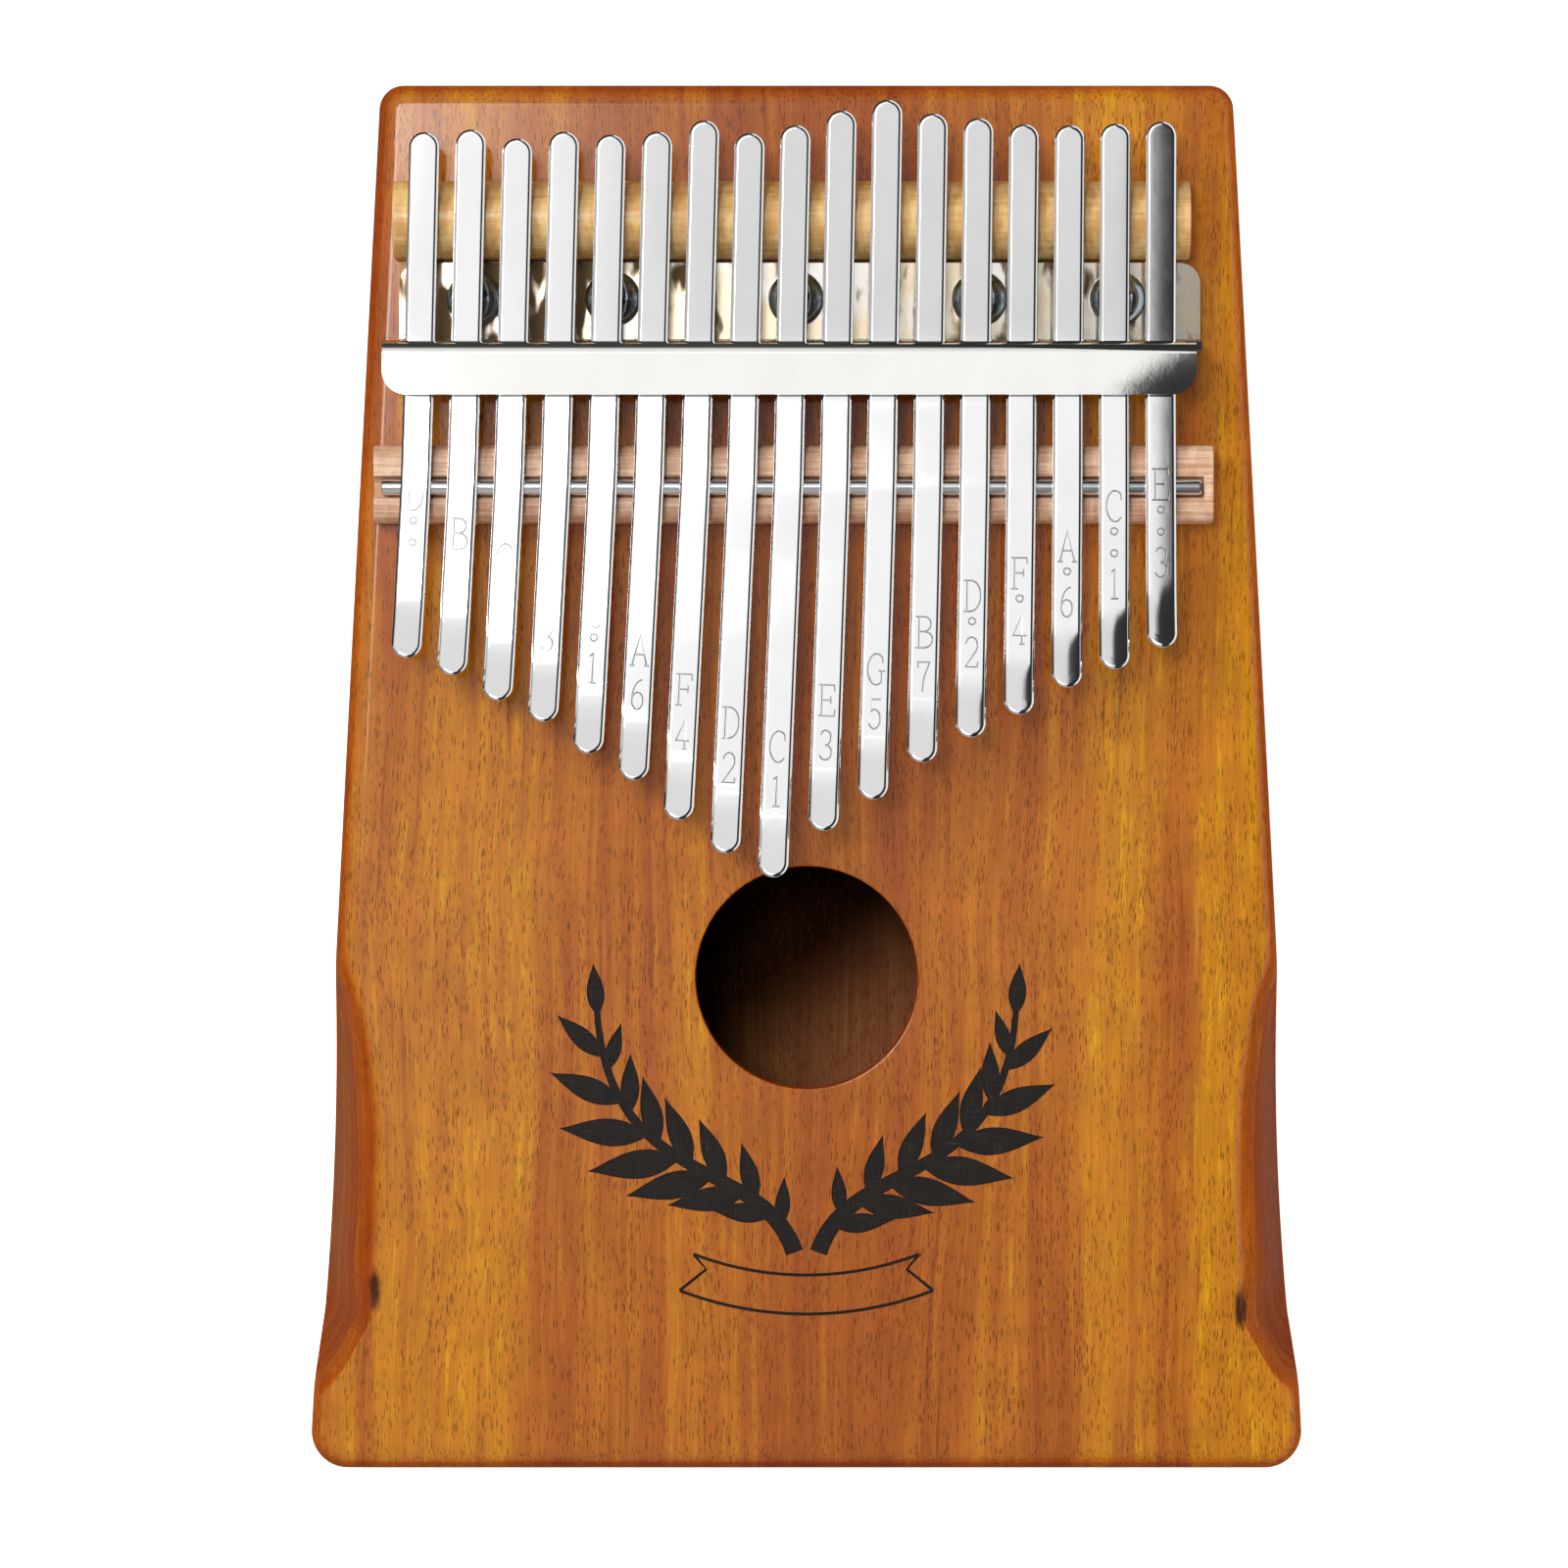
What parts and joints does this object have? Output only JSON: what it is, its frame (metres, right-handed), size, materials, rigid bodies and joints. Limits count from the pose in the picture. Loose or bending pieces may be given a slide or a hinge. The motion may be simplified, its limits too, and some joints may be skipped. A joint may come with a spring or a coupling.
{
  "type": "box mbira",
  "caption": "Hollow hardwood box mbira: spring-steel tines clamped over a rod bridge by a slotted plate, a round sound hole and scooped sides.",
  "frame": {"origin": "middle of the back face, where the instrument lies on a table", "axes": "+X to the player's right with the soundboard facing up, +Y towards the head (the tine tails), +Z out of the soundboard"},
  "size_m": [0.1324, 0.185, 0.0376],
  "materials": {
    "varnished_wood": "gloss varnish",
    "raw_wood": "raw",
    "maple": "satin varnish",
    "beech": "oiled",
    "nickel_plate": "bright plated",
    "spring_steel": "polished",
    "zinc_plate": "bright plated"
  },
  "bodies": {
    "body": {"soundboard": "varnished_wood", "side_rim": "varnished_wood", "back_plate": "varnished_wood", "screw_block": "raw_wood", "rear_bar": "maple", "bridge": "beech", "bridge_rod": "spring_steel", "bracket": "nickel_plate", "bracket_screw_1": "zinc_plate", "bracket_screw_2": "zinc_plate", "bracket_screw_3": "zinc_plate", "bracket_screw_4": "zinc_plate", "bracket_screw_5": "zinc_plate"},
    "heel_01_d6": {"tine_01_d6_heel": "spring_steel"},
    "blade_01_d6": {"tine_01_d6_blade": "spring_steel"},
    "heel_02_b5": {"tine_02_b5_heel": "spring_steel"},
    "blade_02_b5": {"tine_02_b5_blade": "spring_steel"},
    "heel_03_g5": {"tine_03_g5_heel": "spring_steel"},
    "blade_03_g5": {"tine_03_g5_blade": "spring_steel"},
    "heel_04_e5": {"tine_04_e5_heel": "spring_steel"},
    "blade_04_e5": {"tine_04_e5_blade": "spring_steel"},
    "heel_05_c5": {"tine_05_c5_heel": "spring_steel"},
    "blade_05_c5": {"tine_05_c5_blade": "spring_steel"},
    "heel_06_a4": {"tine_06_a4_heel": "spring_steel"},
    "blade_06_a4": {"tine_06_a4_blade": "spring_steel"},
    "heel_07_f4": {"tine_07_f4_heel": "spring_steel"},
    "blade_07_f4": {"tine_07_f4_blade": "spring_steel"},
    "heel_08_d4": {"tine_08_d4_heel": "spring_steel"},
    "blade_08_d4": {"tine_08_d4_blade": "spring_steel"},
    "heel_09_c4": {"tine_09_c4_heel": "spring_steel"},
    "blade_09_c4": {"tine_09_c4_blade": "spring_steel"},
    "heel_10_e4": {"tine_10_e4_heel": "spring_steel"},
    "blade_10_e4": {"tine_10_e4_blade": "spring_steel"},
    "heel_11_g4": {"tine_11_g4_heel": "spring_steel"},
    "blade_11_g4": {"tine_11_g4_blade": "spring_steel"},
    "heel_12_b4": {"tine_12_b4_heel": "spring_steel"},
    "blade_12_b4": {"tine_12_b4_blade": "spring_steel"},
    "heel_13_d5": {"tine_13_d5_heel": "spring_steel"},
    "blade_13_d5": {"tine_13_d5_blade": "spring_steel"},
    "heel_14_f5": {"tine_14_f5_heel": "spring_steel"},
    "blade_14_f5": {"tine_14_f5_blade": "spring_steel"},
    "heel_15_a5": {"tine_15_a5_heel": "spring_steel"},
    "blade_15_a5": {"tine_15_a5_blade": "spring_steel"},
    "heel_16_c6": {"tine_16_c6_heel": "spring_steel"},
    "blade_16_c6": {"tine_16_c6_blade": "spring_steel"},
    "heel_17_e6": {"tine_17_e6_heel": "spring_steel"},
    "blade_17_e6": {"tine_17_e6_blade": "spring_steel"}
  },
  "joints": [
    {"name": "pluck_01_d6", "type": "hinge", "parent": "heel_01_d6", "child": "blade_01_d6", "pos_m": [-0.0517, 0.0383, 0.0325], "axis": [0.9988, -0.0497, 0], "range_deg": [-3.5, 3.5], "stiffness_Nm_per_rad": 8.8},
    {"name": "pluck_02_b5", "type": "hinge", "parent": "heel_02_b5", "child": "blade_02_b5", "pos_m": [-0.04554, 0.0383, 0.0325], "axis": [0.9988, -0.0497, 0], "range_deg": [-3.5, 3.5], "stiffness_Nm_per_rad": 8.01},
    {"name": "pluck_03_g5", "type": "hinge", "parent": "heel_03_g5", "child": "blade_03_g5", "pos_m": [-0.03939, 0.0383, 0.0325], "axis": [0.9988, -0.0497, 0], "range_deg": [-3.5, 3.5], "stiffness_Nm_per_rad": 7.06},
    {"name": "pluck_04_e5", "type": "hinge", "parent": "heel_04_e5", "child": "blade_04_e5", "pos_m": [-0.03323, 0.0383, 0.0325], "axis": [0.9988, -0.0497, 0], "range_deg": [-3.5, 3.5], "stiffness_Nm_per_rad": 6.42},
    {"name": "pluck_05_c5", "type": "hinge", "parent": "heel_05_c5", "child": "blade_05_c5", "pos_m": [-0.02707, 0.0383, 0.0325], "axis": [0.9988, -0.0497, 0], "range_deg": [-3.5, 3.5], "stiffness_Nm_per_rad": 5.66},
    {"name": "pluck_06_a4", "type": "hinge", "parent": "heel_06_a4", "child": "blade_06_a4", "pos_m": [-0.02092, 0.0383, 0.0325], "axis": [0.9988, -0.0497, 0], "range_deg": [-3.5, 3.5], "stiffness_Nm_per_rad": 5.15},
    {"name": "pluck_07_f4", "type": "hinge", "parent": "heel_07_f4", "child": "blade_07_f4", "pos_m": [-0.01476, 0.0383, 0.0325], "axis": [0.9988, -0.0497, 0], "range_deg": [-3.5, 3.5], "stiffness_Nm_per_rad": 4.54},
    {"name": "pluck_08_d4", "type": "hinge", "parent": "heel_08_d4", "child": "blade_08_d4", "pos_m": [-0.00861, 0.0383, 0.0325], "axis": [0.999, -0.0448, 0], "range_deg": [-3.5, 3.5], "stiffness_Nm_per_rad": 4.13},
    {"name": "pluck_09_c4", "type": "hinge", "parent": "heel_09_c4", "child": "blade_09_c4", "pos_m": [-0.00245, 0.0383, 0.0325], "axis": [0.9992, -0.0398, 0], "range_deg": [-3.5, 3.5], "stiffness_Nm_per_rad": 3.88},
    {"name": "pluck_10_e4", "type": "hinge", "parent": "heel_10_e4", "child": "blade_10_e4", "pos_m": [0.00371, 0.0383, 0.0325], "axis": [0.9994, -0.0348, 0], "range_deg": [-3.5, 3.5], "stiffness_Nm_per_rad": 4.4},
    {"name": "pluck_11_g4", "type": "hinge", "parent": "heel_11_g4", "child": "blade_11_g4", "pos_m": [0.00986, 0.0383, 0.0325], "axis": [0.9996, -0.0298, 0], "range_deg": [-3.5, 3.5], "stiffness_Nm_per_rad": 4.83},
    {"name": "pluck_12_b4", "type": "hinge", "parent": "heel_12_b4", "child": "blade_12_b4", "pos_m": [0.01602, 0.0383, 0.0325], "axis": [0.9997, -0.0249, 0], "range_deg": [-3.5, 3.5], "stiffness_Nm_per_rad": 5.48},
    {"name": "pluck_13_d5", "type": "hinge", "parent": "heel_13_d5", "child": "blade_13_d5", "pos_m": [0.02217, 0.0383, 0.0325], "axis": [0.9998, -0.0199, 0], "range_deg": [-3.5, 3.5], "stiffness_Nm_per_rad": 6.03},
    {"name": "pluck_14_f5", "type": "hinge", "parent": "heel_14_f5", "child": "blade_14_f5", "pos_m": [0.02833, 0.0383, 0.0325], "axis": [0.9999, -0.0149, 0], "range_deg": [-3.5, 3.5], "stiffness_Nm_per_rad": 6.63},
    {"name": "pluck_15_a5", "type": "hinge", "parent": "heel_15_a5", "child": "blade_15_a5", "pos_m": [0.03449, 0.0383, 0.0325], "axis": [1, -0.0099, 0], "range_deg": [-3.5, 3.5], "stiffness_Nm_per_rad": 7.52},
    {"name": "pluck_16_c6", "type": "hinge", "parent": "heel_16_c6", "child": "blade_16_c6", "pos_m": [0.04064, 0.0383, 0.0325], "axis": [1, -0.005, 0], "range_deg": [-3.5, 3.5], "stiffness_Nm_per_rad": 8.26},
    {"name": "pluck_17_e6", "type": "hinge", "parent": "heel_17_e6", "child": "blade_17_e6", "pos_m": [0.0468, 0.0383, 0.0325], "axis": [1, 0, 0], "range_deg": [-3.5, 3.5], "stiffness_Nm_per_rad": 9.37},
    {"name": "tune_01_d6", "type": "slide", "parent": "body", "child": "heel_01_d6", "axis": [0.0262, 0.9997, 0], "range_m": [-0.0015, 0.0015]},
    {"name": "tune_02_b5", "type": "slide", "parent": "body", "child": "heel_02_b5", "axis": [0.0262, 0.9997, 0], "range_m": [-0.0015, 0.0015]},
    {"name": "tune_03_g5", "type": "slide", "parent": "body", "child": "heel_03_g5", "axis": [0.0262, 0.9997, 0], "range_m": [-0.0015, 0.0015]},
    {"name": "tune_04_e5", "type": "slide", "parent": "body", "child": "heel_04_e5", "axis": [0.0262, 0.9997, 0], "range_m": [-0.0015, 0.0015]},
    {"name": "tune_05_c5", "type": "slide", "parent": "body", "child": "heel_05_c5", "axis": [0.0262, 0.9997, 0], "range_m": [-0.0015, 0.0015]},
    {"name": "tune_06_a4", "type": "slide", "parent": "body", "child": "heel_06_a4", "axis": [0.0262, 0.9997, 0], "range_m": [-0.0015, 0.0015]},
    {"name": "tune_07_f4", "type": "slide", "parent": "body", "child": "heel_07_f4", "axis": [0.0262, 0.9997, 0], "range_m": [-0.0015, 0.0015]},
    {"name": "tune_08_d4", "type": "slide", "parent": "body", "child": "heel_08_d4", "axis": [0.0236, 0.9997, 0], "range_m": [-0.0015, 0.0015]},
    {"name": "tune_09_c4", "type": "slide", "parent": "body", "child": "heel_09_c4", "axis": [0.0209, 0.9998, 0], "range_m": [-0.0015, 0.0015]},
    {"name": "tune_10_e4", "type": "slide", "parent": "body", "child": "heel_10_e4", "axis": [0.0183, 0.9998, 0], "range_m": [-0.0015, 0.0015]},
    {"name": "tune_11_g4", "type": "slide", "parent": "body", "child": "heel_11_g4", "axis": [0.0157, 0.9999, 0], "range_m": [-0.0015, 0.0015]},
    {"name": "tune_12_b4", "type": "slide", "parent": "body", "child": "heel_12_b4", "axis": [0.0131, 0.9999, 0], "range_m": [-0.0015, 0.0015]},
    {"name": "tune_13_d5", "type": "slide", "parent": "body", "child": "heel_13_d5", "axis": [0.0105, 0.9999, 0], "range_m": [-0.0015, 0.0015]},
    {"name": "tune_14_f5", "type": "slide", "parent": "body", "child": "heel_14_f5", "axis": [0.0079, 1, 0], "range_m": [-0.0015, 0.0015]},
    {"name": "tune_15_a5", "type": "slide", "parent": "body", "child": "heel_15_a5", "axis": [0.0052, 1, 0], "range_m": [-0.0015, 0.0015]},
    {"name": "tune_16_c6", "type": "slide", "parent": "body", "child": "heel_16_c6", "axis": [0.0026, 1, 0], "range_m": [-0.0015, 0.0015]},
    {"name": "tune_17_e6", "type": "slide", "parent": "body", "child": "heel_17_e6", "axis": [0, 1, 0], "range_m": [-0.0015, 0.0015]}
  ]
}
